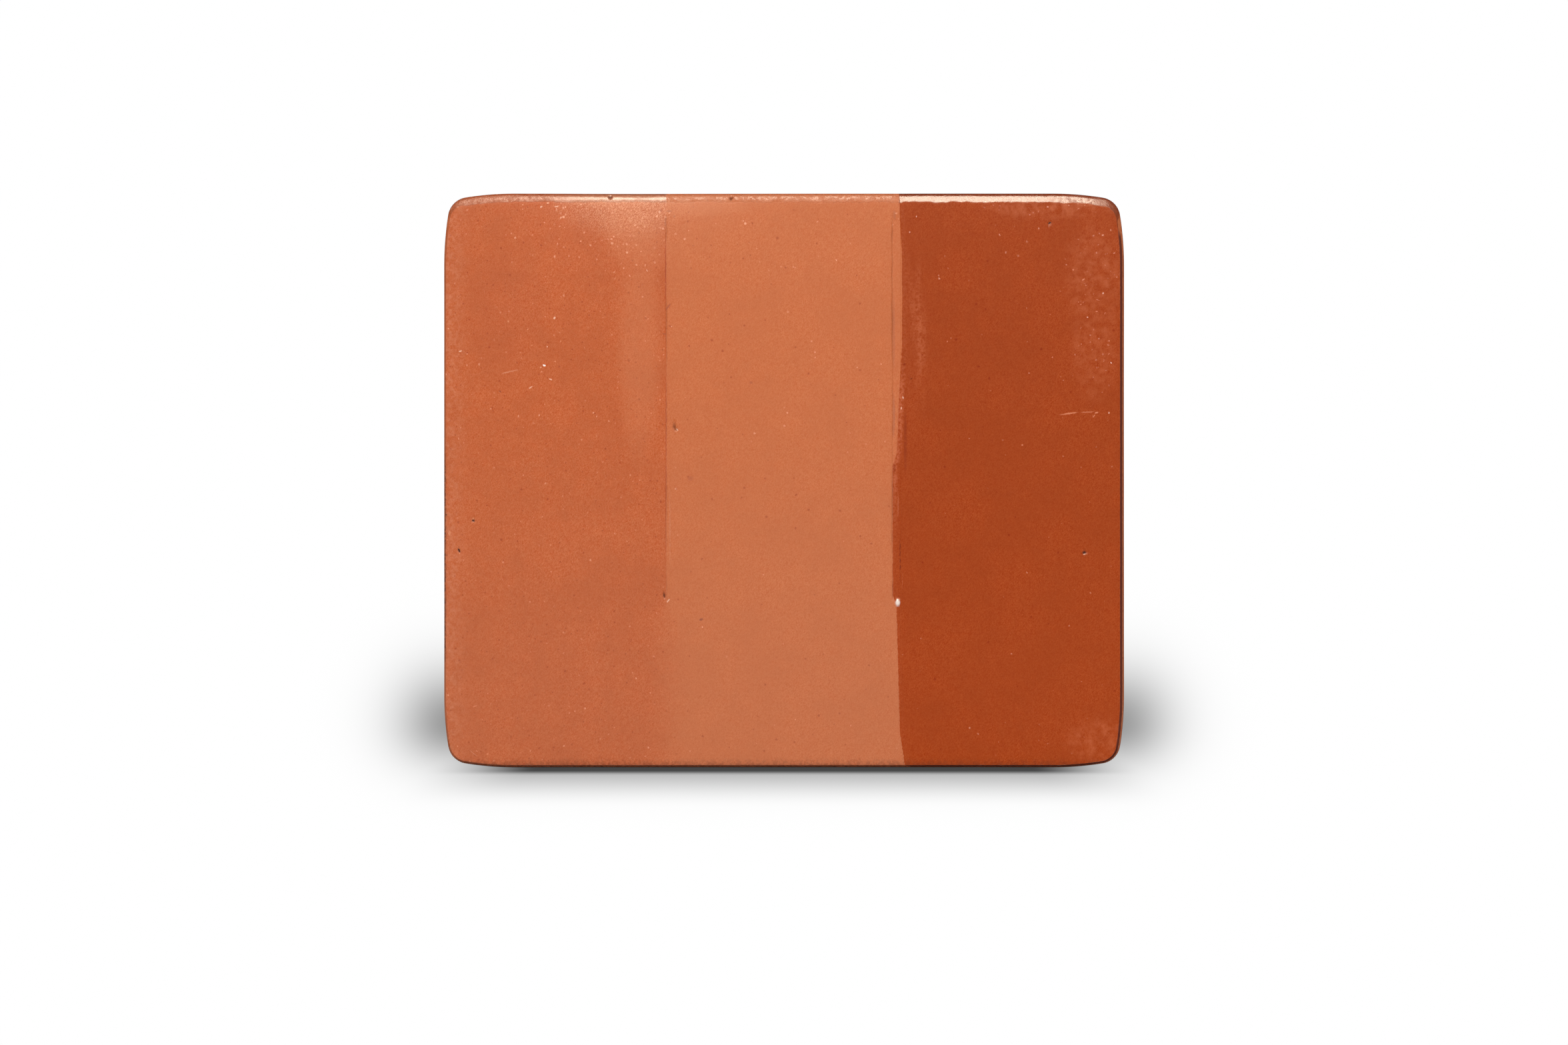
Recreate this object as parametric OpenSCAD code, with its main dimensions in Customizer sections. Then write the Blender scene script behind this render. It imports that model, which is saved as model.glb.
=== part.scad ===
/* [Block] */
// Width of the block across its face
block_width = 90; // [60:1:240]
// Height of the block as it stands on its long edge
block_height = 76; // [50:1:120]
// Depth of the block from its face to its back
block_depth = 30; // [12:1:120]

/* [Corners] */
// Distance from a corner at which each side starts to curve in
corner_reach = 9.5; // [7:0.5:20]
// Radius of the tight nose in the middle of a corner
nose_radius = 2.8; // [2.5:0.1:5]
// Angle that each long shoulder of a corner turns through
shoulder_turn = 9; // [3:0.5:20]

/* [Arrises] */
// How far the rounded edge reaches down the face from the top
top_arris = 1.2; // [0.3:0.1:2]
// How far the rounded edge reaches across the face from each side
side_arris = 0.7; // [0.3:0.1:2]
// How far the rounded edge reaches up the face from the bottom
bottom_arris = 0.9; // [0.3:0.1:2]
// How far the rounded front edge runs back from the face
arris_depth = 1.2; // [0.3:0.1:3]
// Radius of the plain edge round the back
back_arris = 0.5; // [0.2:0.1:2]

/* [Score lines] */
// Distance from the top of the block to the upper ends of the score lines
score_start = 1.9; // [1.5:0.1:8]
// Height above the base at which the score lines end
score_foot = 22; // [5:1:38]
// Width of the narrow score line between the satin and the bare panel
narrow_score_width = 0.4; // [0.2:0.05:2]
// Width of the broad score line between the bare and the sealed panel
broad_score_width = 1.1; // [0.4:0.05:3]
// Depth of both score lines below the face
score_depth = 0.18; // [0.1:0.02:1]

/* [Hidden] */

half_width = block_width / 2;
half_depth = block_depth / 2;

// The face is split in three panels of equal width
panel_width = block_width / 3;

// Steps in each arc of the outline and in the rounded edges
nose_steps = 9;
shoulder_steps = 3;
front_steps = 6;
back_steps = 3;

// Smoothness of the round ends of the score lines
$fn = 32;

// A point on a circle, the angle measured in degrees from the first axis
function on_circle(centre, radius, angle) = centre + radius * [cos(angle), sin(angle)];

// One corner as three arcs that meet without a break: a long shoulder off each side and a tight
// nose between them. It lies in the first quadrant with its two sides through the origin, and its
// points run from the first axis side to the second one, going round the inside of the corner.
function corner_curve(reach, nose) =
    let (
        slope = cos(shoulder_turn) - sin(shoulder_turn),
        shoulder = (reach - nose * slope) / (1 - slope),
        middle = shoulder - (shoulder - nose) * cos(shoulder_turn)
    )
    concat(
        [for (i = [0 : shoulder_steps])
            on_circle([reach, shoulder], shoulder, 270 - shoulder_turn * i / shoulder_steps)],
        [for (i = [1 : nose_steps - 1])
            on_circle([middle, middle], nose,
                      270 - shoulder_turn - (90 - 2 * shoulder_turn) * i / nose_steps)],
        [for (i = [0 : shoulder_steps])
            on_circle([shoulder, reach], shoulder,
                      180 + shoulder_turn * (1 - i / shoulder_steps))]
    );

function backwards(list) = [for (i = [len(list) - 1 : -1 : 0]) list[i]];

// The closed outline at a depth, with each side drawn in from the block's full size. It is seen
// from the front and runs clockwise from the bottom right corner, by way of the bottom left.
function outline(y, top, side, bottom) =
    let (
        x = half_width - side,
        high = block_height - top,
        lower = corner_curve(corner_reach - (side + bottom) / 2, nose_radius - (side + bottom) / 2),
        upper = corner_curve(corner_reach - (side + top) / 2, nose_radius - (side + top) / 2)
    )
    concat(
        [for (p = backwards(lower)) [x - p[0], y, bottom + p[1]]],
        [for (p = lower) [-x + p[0], y, bottom + p[1]]],
        [for (p = backwards(upper)) [-x + p[0], y, high - p[1]]],
        [for (p = upper) [x - p[0], y, high - p[1]]]
    );

// The outlines from the face to the back, which follow a quarter ellipse at each end
function front_outline(turn) =
    outline(-half_depth + arris_depth * (1 - cos(turn)), top_arris * (1 - sin(turn)),
            side_arris * (1 - sin(turn)), bottom_arris * (1 - sin(turn)));

function back_outline(turn) =
    let (inset = back_arris * (1 - cos(turn)))
    outline(half_depth - back_arris * (1 - sin(turn)), inset, inset, inset);

outlines = concat(
    [for (i = [0 : front_steps]) front_outline(90 * i / front_steps)],
    [for (i = [0 : back_steps]) back_outline(90 * i / back_steps)]
);

// A closed skin through outlines that all have as many points
module loft(outlines) {
    count = len(outlines[0]);
    last = len(outlines) - 1;
    polyhedron(
        points = [for (o = outlines) each o],
        faces = concat(
            [[for (i = [0 : count - 1]) i]],
            [for (k = [0 : last - 1]) for (i = [0 : count - 1])
                let (next = (i + 1) % count)
                [k * count + next, k * count + i, (k + 1) * count + i, (k + 1) * count + next]],
            [[for (i = [count - 1 : -1 : 0]) last * count + i]]
        )
    );
}

// A shallow upright slot in the face with round ends, centred on x
module score_line(x, width) {
    radius = width / 2;
    low = score_foot + radius;
    high = block_height - score_start - radius;
    translate([x, -half_depth - score_depth, 0]) rotate([-90, 0, 0]) {
        for (z = [low, high]) translate([0, -z, 0]) cylinder(r = radius, h = 2 * score_depth);
        translate([-radius, -high, 0]) cube([width, high - low, 2 * score_depth]);
    }
}

// The whole block is one moulded and fired piece
module brick() {
    color("#cb7048") difference() {
        loft(outlines);
        score_line(-panel_width / 2, narrow_score_width);
        score_line(panel_width / 2, broad_score_width);
    }
}

brick();
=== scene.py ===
"""A moulded clay block whose face is scored into a satin, a bare and a sealed panel."""

from math import atan2, cos, pi, radians, sin

import bpy
import numpy as np
from bpy.props import FloatProperty, FloatVectorProperty, IntProperty, PointerProperty
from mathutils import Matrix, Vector


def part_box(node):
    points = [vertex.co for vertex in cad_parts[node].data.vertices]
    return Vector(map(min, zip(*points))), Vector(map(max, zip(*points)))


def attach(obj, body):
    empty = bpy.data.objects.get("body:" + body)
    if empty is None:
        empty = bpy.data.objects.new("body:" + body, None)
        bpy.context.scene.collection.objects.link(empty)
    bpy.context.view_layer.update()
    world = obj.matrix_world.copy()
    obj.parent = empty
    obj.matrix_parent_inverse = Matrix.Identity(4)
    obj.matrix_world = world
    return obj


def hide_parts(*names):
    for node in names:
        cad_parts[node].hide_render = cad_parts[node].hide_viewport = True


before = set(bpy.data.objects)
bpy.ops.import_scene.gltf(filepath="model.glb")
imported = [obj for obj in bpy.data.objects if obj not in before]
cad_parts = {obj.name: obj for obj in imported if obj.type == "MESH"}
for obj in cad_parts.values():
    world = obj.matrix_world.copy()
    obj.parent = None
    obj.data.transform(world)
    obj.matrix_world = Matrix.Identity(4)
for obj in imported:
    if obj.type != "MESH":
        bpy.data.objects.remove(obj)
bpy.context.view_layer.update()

bl_info = {
    "name": "Scored Clay Block",
    "version": (1, 0, 0),
    "blender": (4, 5, 0),
    "location": "View3D > Sidebar > Clay Block",
    "description": "Builds a clay block with three finish panels, and a studio to show it in",
    "category": "Add Mesh",
}

MM = 0.001
BLOCK_LOW, BLOCK_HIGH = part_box("brick")
WIDTH, DEPTH, HEIGHT = (BLOCK_HIGH - BLOCK_LOW) / MM

# Where the block's face lies in the photograph, in its pixels
FACE_LEFT = 667
FACE_RIGHT = 1685.5
FACE_BOTTOM = 1151
PIXEL = WIDTH / (FACE_RIGHT - FACE_LEFT)

# The photograph's whole frame, in pixels
PHOTO_WIDTH = 2352
PHOTO_HEIGHT = 1568

# The width of the camera's sensor, in mm
SENSOR = 36


def across(pixel):
    """The place across the face, in mm from its middle, of a column of the photograph."""
    return (pixel - (FACE_LEFT + FACE_RIGHT) / 2) * PIXEL


def above(pixel):
    """The height above the base, in mm, of a row of the photograph."""
    return (FACE_BOTTOM - pixel) * PIXEL


def painted(red, green, blue):
    """A colour given in display values from 0 to 255, as the linear values that shaders take."""
    display = np.array([red, green, blue]) / 255
    linear = np.where(display <= 0.04045, display / 12.92, ((display + 0.055) / 1.055) ** 2.4)
    return tuple(float(part) for part in linear)


# The score lines, in mm: the narrow one's middle, and the two sides of the broad one
NARROW_LINE = across(1000)
BROAD_LEFT = across(1338)
BROAD_RIGHT = across(1350)
LINE_TOP = above(318)
LINE_FOOT = above(902)

# The left side, and the height above which the band along the top starts, where painted shade
# darkens the rounded edge, in mm
LEFT_SIDE = -WIDTH / 2
TOP_BAND = 70

# How the face sags towards the top: the middle and the reach of its bell across the face and the
# height over which it fades, in mm, and the share of the sag that the whole top has
SAG_MIDDLE = -18
SAG_REACH = 12
SAG_FADE = 3.4
SAG_EVERYWHERE = 0.12

# The edge of the sealing coat, as pixels down the photograph: it follows the broad line, runs into
# it as a tongue in its lower part, and drifts to the right below it
COAT_EDGE = (
    (1348, 290), (1350, 345), (1352.5, 385), (1352.5, 520), (1350, 562), (1347.5, 600),
    (1346.5, 645), (1345, 672), (1343, 688), (1338.5, 698), (1338.5, 893), (1344, 905),
    (1349.5, 1100), (1357.5, 1151),
)

# Air holes, chips and nicks: the pixel, half length, half width and depth in mm, and the turn in
# degrees from the level
HOLES = (
    ((690.3, 826), 0.34, 0.15, 0.14, -62),
    ((1625, 829), 0.26, 0.22, 0.14, 0),
    ((1573, 336), 0.30, 0.13, 0.10, 35),
    ((711.5, 781), 0.24, 0.17, 0.10, 0),
    ((1013, 643), 0.40, 0.20, 0.20, 140),
    ((997, 893), 0.42, 0.16, 0.20, 100),
    ((1354, 569), 0.30, 0.12, 0.12, 10),
    ((916, 296), 0.34, 0.18, 0.20, 0),
    ((1097, 298), 0.30, 0.20, 0.22, 20),
)

# The bead of coating at the foot of the broad line, given as a hole but for its height
BEAD = ((1346, 904), 0.36, 0.46, 0.11, 0)

# How far round the rounded front edge each ring of vertices lies
RING_STOPS = (0, 0.035, 0.07, 0.11, 0.22, 0.34, 0.45, 0.53, 0.62, 0.72, 0.82, 0.91, 1)

# The grid of the back, the number of rings down the sides, and the number round the back's edge
BACK_COLUMNS = 96
BACK_ROWS = 80
SIDE_RINGS = 7
BACK_RINGS = 3


class BlockShape(bpy.types.PropertyGroup):
    """The sizes of the block's surface."""

    corner_reach: FloatProperty(
        name="Corner Reach", subtype="DISTANCE", default=9.5 * MM, min=7 * MM,
        description="Distance from a corner at which each side starts to curve in")
    nose_radius: FloatProperty(
        name="Nose Radius", subtype="DISTANCE", default=2.8 * MM, min=2.5 * MM,
        description="Radius of the tight nose in the middle of a corner")
    shoulder_turn: FloatProperty(
        name="Shoulder Turn", subtype="ANGLE", default=radians(9), min=radians(3),
        description="Angle that each long shoulder of a corner turns through")
    top_arris: FloatProperty(
        name="Top Arris", subtype="DISTANCE", default=1.3 * MM, min=0.3 * MM,
        description="How far the rounded edge reaches down the face from the top")
    left_arris: FloatProperty(
        name="Left Arris", subtype="DISTANCE", default=0.35 * MM, min=0.3 * MM,
        description="How far the rounded edge reaches across the face from the left")
    right_arris: FloatProperty(
        name="Right Arris", subtype="DISTANCE", default=0.7 * MM, min=0.3 * MM,
        description="How far the rounded edge reaches across the face from the right")
    bottom_arris: FloatProperty(
        name="Bottom Arris", subtype="DISTANCE", default=0.4 * MM, min=0.3 * MM,
        description="How far the rounded edge reaches up the face from the bottom")
    arris_depth: FloatProperty(
        name="Arris Depth", subtype="DISTANCE", default=1.2 * MM, min=0.3 * MM,
        description="How far the rounded front edge runs back from the face")
    facet_turn: FloatProperty(
        name="Facet Turn", subtype="ANGLE", default=radians(26), min=0, max=radians(60),
        description="Angle from the face of the flatter part of the rounded front edge")
    facet_share: FloatProperty(
        name="Facet Share", subtype="FACTOR", default=0.48, min=0.1, max=0.9,
        description="How much of the rounded front edge is the flatter part")
    back_arris: FloatProperty(
        name="Back Arris", subtype="DISTANCE", default=0.5 * MM, min=0.2 * MM,
        description="Radius of the plain edge round the back")
    relief_room: FloatProperty(
        name="Relief Room", subtype="DISTANCE", default=0.15 * MM, min=0,
        description="How far the bare face lies behind the block's full depth, as room for relief")
    score_depth: FloatProperty(
        name="Score Depth", subtype="DISTANCE", default=0.14 * MM, min=0,
        description="Depth of the score lines below the face")
    coat_thickness: FloatProperty(
        name="Coat Thickness", subtype="DISTANCE", default=0.03 * MM, min=0,
        description="Thickness of the sealing coat on the right panel")
    top_sag: FloatProperty(
        name="Top Sag", subtype="DISTANCE", default=0.55 * MM, min=0,
        description="How far the face falls back at the top, between the left panel's middle "
                    "and the bare panel's")
    waviness: FloatProperty(
        name="Waviness", subtype="DISTANCE", default=0.04 * MM, min=0,
        description="Depth of the slow waves in the moulded surfaces")
    face_columns: IntProperty(
        name="Face Columns", default=400, min=40,
        description="Columns of the grid that the face is made of")
    face_rows: IntProperty(
        name="Face Rows", default=150, min=40,
        description="Rows of the grid that the face is made of")
    seed: IntProperty(
        name="Seed", default=7, min=0,
        description="Which waves, ragged edges and pores the block gets")


class BlockFinish(bpy.types.PropertyGroup):
    """The colours and gloss of the three panels."""

    satin_colour: FloatVectorProperty(
        name="Satin Colour", subtype="COLOR", size=3, min=0, max=1, default=painted(194, 94, 47),
        description="Colour of the clay under the satin coat of the left panel")
    bare_colour: FloatVectorProperty(
        name="Bare Colour", subtype="COLOR", size=3, min=0, max=1, default=painted(198, 102, 52),
        description="Colour of the bare clay of the middle panel, the sides and the back")
    sealed_colour: FloatVectorProperty(
        name="Sealed Colour", subtype="COLOR", size=3, min=0, max=1, default=painted(168, 68, 23),
        description="Colour of the clay under the sealing coat of the right panel")
    satin_roughness: FloatProperty(
        name="Satin Roughness", subtype="FACTOR", default=0.28, min=0, max=1,
        description="Roughness of the satin panel")
    bare_roughness: FloatProperty(
        name="Bare Roughness", subtype="FACTOR", default=0.42, min=0, max=1,
        description="Roughness of the bare clay")
    sealed_roughness: FloatProperty(
        name="Sealed Roughness", subtype="FACTOR", default=0.17, min=0, max=1,
        description="Roughness of the sealed clay, under the gloss of its coat")
    coat_wrap: FloatProperty(
        name="Coat Wrap", subtype="DISTANCE", default=1.3 * MM, min=0,
        description="How far behind the face the coats end on the top of the block")
    side_wrap: FloatProperty(
        name="Side Wrap", subtype="DISTANCE", default=0.12 * MM, min=0,
        description="How far behind the face the coats end on the sides of the block")


class StudioSetup(bpy.types.PropertyGroup):
    """The camera, the lamps and the floor."""

    lens: FloatProperty(
        name="Lens", default=120, min=20,
        description="Focal length of the camera in mm, on a frame 36 mm wide")
    frame_width: FloatProperty(
        name="Frame Width", subtype="DISTANCE", default=0.9983 * PHOTO_WIDTH * PIXEL * MM, min=0.1,
        description="Width of the picture at the block's outline, a touch less than the "
                    "photograph's, because the waves draw the outline in")
    sky: FloatProperty(
        name="Sky", default=0.34, min=0,
        description="Brightness of the even light from all round")
    key: FloatProperty(
        name="Key", default=0.73, min=0,
        description="Light that the front lamp gives the face, where 1 shows a colour as it is")
    strip: FloatProperty(
        name="Strip", default=15.0, min=0,
        description="Brightness of the softbox that glints on the top edge")


def smooth(low, high, value):
    """Rises from 0 at low to 1 at high along 3t² − 2t³."""
    t = np.clip((value - low) / (high - low), 0, 1)
    return t * t * (3 - 2 * t)


def bell(value, middle, reach):
    """A bump of height 1 at the middle, which falls off as exp(−(distance / reach)²)."""
    return np.exp(-((value - middle) / reach) ** 2)


def value_noise(u, v, seed):
    """Smooth noise from −1 to 1: random values at whole numbers, blended by 3t² − 2t³ between."""
    side = 256
    lattice = np.random.default_rng(seed).uniform(-1, 1, (side, side))
    column = np.floor(u).astype(int)
    row = np.floor(v).astype(int)
    along = smooth(0, 1, u - column)
    up = smooth(0, 1, v - row)

    def corner(i, j):
        return lattice[(column + i) % side, (row + j) % side]

    low = corner(0, 0) * (1 - along) + corner(1, 0) * along
    high = corner(0, 1) * (1 - along) + corner(1, 1) * along
    return low * (1 - up) + high * up


def line_noise(place, size, seed):
    """Smooth noise from −1 to 1 along a line, whose lumps are as long as the size."""
    return value_noise(place / size, place * 0, seed)


def spaced(low, high, count, places, reach=0.55, boost=5.0):
    """Grid lines from low to high that crowd at some places.

    The inverse of a running total of a density, which is 1 plus a bell at each place.
    """
    fine = np.linspace(low, high, 6001)
    density = 1 + boost * np.max([bell(fine, place, reach) for place in places], axis=0)
    total = np.concatenate([[0], np.cumsum(density[1:] + density[:-1])])
    return np.interp(np.linspace(0, total[-1], count + 1), total, fine)


def pulled_in(past_x, past_z, shape, inset):
    """How much nearer to a corner's inner point its square is drawn to give the rounded corner.

    Along each ray from the inner point the square's edge moves to the outline, which is the far
    meeting of the ray with the shoulder circle or, near the diagonal, with the nose circle. The
    points inside follow in proportion to the square of their share of the way.
    """
    reach = shape.corner_reach / MM - inset
    nose = shape.nose_radius / MM - inset
    turn = shape.shoulder_turn
    slope = cos(turn) - sin(turn)
    shoulder = (reach - nose * slope) / (1 - slope)
    nose_centre = reach - shoulder + (shoulder - nose) * cos(turn)
    major = np.maximum(past_x, past_z)
    minor = np.minimum(past_x, past_z)
    length = np.maximum(np.hypot(major, minor), 1e-9)
    s = major / length
    c = minor / length
    drop = reach - shoulder
    on_shoulder = drop * s + np.sqrt(shoulder ** 2 - (drop * c) ** 2)
    over = np.maximum(nose ** 2 - (nose_centre * (s - c)) ** 2, 0)
    on_nose = nose_centre * (c + s) + np.sqrt(over)
    meet = shoulder * sin(turn) / (drop + shoulder * cos(turn))
    outline = np.where(minor > meet * major, on_nose, on_shoulder)
    square = reach * length / np.maximum(major, 1e-9)
    share = (major / reach) ** 2
    return np.where(minor > 0, 1 - share * (1 - outline / square), 1.0)


def rounded(x, z, shape, side, top, bottom):
    """Points of the block's full rectangle, drawn into the rounded outline with the given insets.

    The rectangle is scaled to its inset size, and each corner's square is pulled in by arcs.
    """
    half = WIDTH / 2 - side
    x = x * half / (WIDTH / 2)
    z = bottom + z * (HEIGHT - top - bottom) / HEIGHT
    upper = z > HEIGHT / 2
    inset = np.where(upper, (side + top) / 2, (side + bottom) / 2)
    reach = shape.corner_reach / MM - inset
    inner_x = half - reach
    inner_z = np.where(upper, HEIGHT - top - reach, bottom + reach)
    past_x = np.maximum(np.abs(x) - inner_x, 0)
    past_z = np.maximum(np.where(upper, z - inner_z, inner_z - z), 0)
    scale = pulled_in(past_x, past_z, shape, inset)
    x = np.where(scale < 1, np.sign(x) * (inner_x + past_x * scale), x)
    z = np.where(scale < 1, inner_z + np.where(upper, 1, -1) * past_z * scale, z)
    return x, z


def rim(columns, rows):
    """Indices of a grid's outer vertices, from its low left corner to the right and on round."""
    index = np.arange((columns + 1) * (rows + 1)).reshape(columns + 1, rows + 1)
    return np.concatenate([index[:-1, 0], index[-1, :-1], index[:0:-1, -1], index[0, :0:-1]])


def grid_faces(columns, rows):
    """The quads of a grid whose vertices run up each column in turn, facing −Y."""
    index = np.arange((columns + 1) * (rows + 1)).reshape(columns + 1, rows + 1)
    corners = (index[:-1, :-1], index[1:, :-1], index[1:, 1:], index[:-1, 1:])
    return np.stack([corner.ravel() for corner in corners], axis=1)


def band_faces(front, back):
    """The quads between two closed loops of as many vertices."""
    return np.stack([front, back, np.roll(back, -1), np.roll(front, -1)], axis=1)


def stitch_faces(front, back, front_turn, back_turn):
    """The triangles between two closed loops of different counts.

    The loop whose next vertex comes first round the block goes on each time. The turns tell how
    far round each vertex is, from 0 to 1.
    """
    steps = np.concatenate([np.append(front_turn[1:], 1), np.append(back_turn[1:], 1)])
    is_front = np.arange(len(steps)) < len(front)
    order = np.argsort(steps, kind="stable")
    is_front = is_front[order]
    at_front = np.cumsum(is_front) - is_front
    at_back = np.cumsum(~is_front) - ~is_front
    here = front[at_front % len(front)]
    there = back[at_back % len(back)]
    next_front = front[(at_front + 1) % len(front)]
    next_back = back[(at_back + 1) % len(back)]
    return np.stack([here, there, np.where(is_front, next_front, next_back)], axis=1)


def round_turn(x, z):
    """How far round the full rectangle each rim point is, from 0 at the low left corner to 1."""
    half = WIDTH / 2
    along = np.select(
        [z <= 0, x >= half, z >= HEIGHT],
        [x + half, WIDTH + z, WIDTH + HEIGHT + half - x],
        2 * WIDTH + HEIGHT + HEIGHT - z)
    return along / (2 * WIDTH + 2 * HEIGHT)


def coat_edge(z):
    """How far across the face the sealing coat's edge is at a height."""
    columns, rows = np.array(COAT_EDGE, float).T
    return np.interp(z, above(rows)[::-1], across(columns)[::-1])


def line_span(z):
    """1 along the score lines and 0 past their ends."""
    return smooth(LINE_FOOT, LINE_FOOT + 0.6, z) * (1 - smooth(LINE_TOP - 1.5, LINE_TOP, z))


def face_sink(x, z, shape):
    """How far back the face lies in mm, and a share that says how much of a hollow a place is.

    The sum of the room for relief, the sag at the top, the score lines, which are bells and a
    shallow step, and the lip beside each, less the thickness of the coat with its raised rim.
    """
    seed = shape.seed
    depth = shape.score_depth / MM
    span = line_span(z)
    wander = 0.06 * line_noise(z, 6, seed + 1) + 0.03 * line_noise(z, 1, seed + 10)
    strength = np.clip(0.55 + 0.6 * line_noise(z, 1.6, seed + 2), 0.1, 1)
    narrow = bell(x, NARROW_LINE + wander, 0.08) * strength * span
    narrow_lip = bell(x, NARROW_LINE + 0.40, 0.16) * span * (1 - smooth(40, 60, z) * 0.7)
    ragged = 0.04 * line_noise(z, 1.1, seed + 3)
    left = BROAD_LEFT + ragged + wander
    broad = smooth(left - 0.08, left + 0.08, x) * (1 - smooth(BROAD_RIGHT, BROAD_RIGHT + 0.1, x))
    cut = bell(x, left, 0.07) * strength * span
    coat = smooth(-0.05, 0.10, x - coat_edge(z) - ragged)
    rim_height = 0.6 + 0.4 * line_noise(z, 0.8, seed + 4)
    coat_rim = bell(x, coat_edge(z) + 0.22, 0.16) * rim_height
    sag = bell(x, SAG_MIDDLE, SAG_REACH) + SAG_EVERYWHERE
    sag = shape.top_sag / MM * sag * np.exp(-(HEIGHT - z) / SAG_FADE)
    thickness = shape.coat_thickness / MM
    score = 0.55 * narrow + 0.35 * broad * span + 0.7 * cut
    sink = shape.relief_room / MM + sag + depth * score
    sink = sink - thickness * (coat + coat_rim) - 0.03 * narrow_lip
    return sink, 0.32 * narrow + 0.45 * cut


def hole_share(places, pixel, half_length, half_width, turn):
    """1 inside an oval hole in the block's front and 0 outside, with a steep smooth wall."""
    x = places[:, 0] - across(pixel[0])
    z = places[:, 2] - above(pixel[1])
    c, s = cos(radians(turn)), sin(radians(turn))
    away = np.hypot((x * c + z * s) / half_length, (z * c - x * s) / half_width)
    return (1 - smooth(0.45, 1.15, away)) * (places[:, 1] < 0)


def front_profile(shape):
    """The rounded front edge: its turn, and its share of the way out and back, at each ring.

    The turn rises quickly to the facet's, keeps it for the facet's share, and then rises evenly to
    a right angle. The ways out and back are the running totals of its cosine and sine.
    """
    along = np.linspace(0, 1, 601)
    first = smooth(0, 0.10, along) * shape.facet_turn
    rest = np.clip((along - shape.facet_share) / (1 - shape.facet_share), 0, 1)
    turn = first + rest * (pi / 2 - shape.facet_turn)
    out = np.concatenate([[0], np.cumsum(np.cos(turn))[:-1]])
    back = np.concatenate([[0], np.cumsum(np.sin(turn))[:-1]])
    profile = (turn, out / out[-1], back / back[-1])
    return [np.interp(RING_STOPS, along, values) for values in profile]


def ring(x, z, shape, y, side, top, bottom):
    """A rim of the full rectangle drawn into the rounded outline, at a depth."""
    ring_x, ring_z = rounded(x, z, shape, side, top, bottom)
    return np.stack([ring_x, np.full_like(ring_x, y), ring_z], axis=1)


def outward(rings, turns, sign):
    """Unit vectors off each ring: from along Y, by the ring's turn, to square to its outline."""
    normals = []
    for ring, turn in zip(rings, turns):
        along = np.roll(ring, -1, axis=0) - np.roll(ring, 1, axis=0)
        square = np.stack([along[:, 2], 0 * along[:, 0], -along[:, 0]], axis=1)
        square = square / np.linalg.norm(square, axis=1, keepdims=True)
        normals.append(square * sin(turn) + np.array([0, sign * cos(turn), 0]))
    return normals


def arrises(columns, share, shape):
    """The front edge's insets at the side, top and bottom, of which the top one is ragged."""
    ragged = 0.07 * line_noise(columns, 0.4, shape.seed + 8)
    ragged = 1 + ragged + 0.06 * line_noise(columns, 1.5, shape.seed + 9)
    side = np.where(columns < 0, shape.left_arris, shape.right_arris)
    insets = (side, shape.top_arris * ragged, shape.bottom_arris)
    return [inset / MM * share for inset in insets]


def worn(places, normals, shape):
    """Points sunk along their outward directions by slow waves, and by wear on the front edge."""
    x, y, z = places.T
    seed = shape.seed
    waves = 0.5 + 0.35 * value_noise(x / 17 + y / 23, z / 15 - y / 19, seed + 5)
    waves = waves + 0.15 * value_noise(x / 4.5 + y / 6, z / 5 - y / 4, seed + 6)
    wear = 0.03 * (0.5 + 0.5 * value_noise(x / 0.8 + y / 2, z / 0.8 - y / 2, seed + 7))
    on_arris = 1 - np.abs(normals[:, 1])
    on_arris = 4 * on_arris * (1 - on_arris) * (y < 0)
    return places - normals * (shape.waviness / MM * waves + wear * on_arris)[:, None]


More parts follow.
